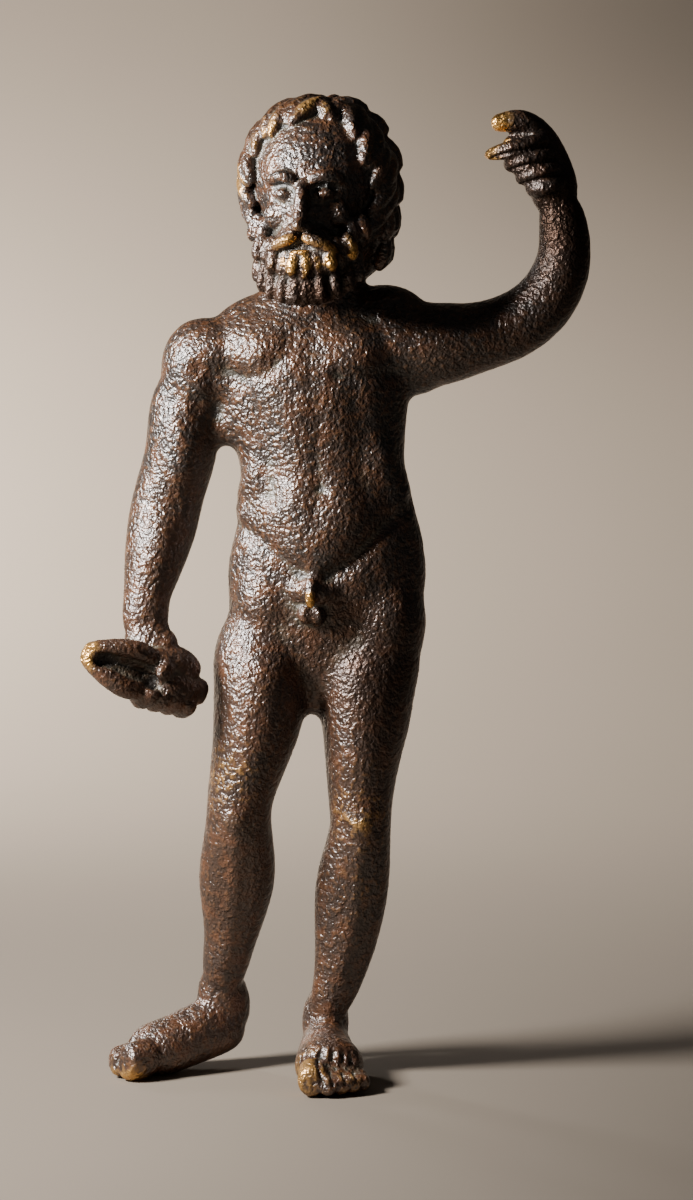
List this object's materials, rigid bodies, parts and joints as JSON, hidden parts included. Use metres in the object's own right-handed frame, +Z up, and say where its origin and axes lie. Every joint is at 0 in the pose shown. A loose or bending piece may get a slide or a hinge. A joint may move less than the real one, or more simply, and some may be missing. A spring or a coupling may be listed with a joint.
{
  "type": "jupiter statuette",
  "caption": "Small solid bronze statuette of a nude bearded god, one arm raised round a lost staff, the lowered hand gripping a thunderbolt",
  "frame": {"origin": "on the ground under the soles, at the middle of the bounding box in X and Y", "axes": "+Z up through the head, the face and chest towards -Y, his own left (the raised arm) towards +X"},
  "size_m": [0.0482, 0.019, 0.0949],
  "materials": {
    "bronze": "dark brown patinated cast bronze, finely pitted and glossy, with olive grey in the hollows and golden wear on the high spots"
  },
  "bodies": {
    "root": {"god_figure": "bronze"}
  },
  "joints": []
}
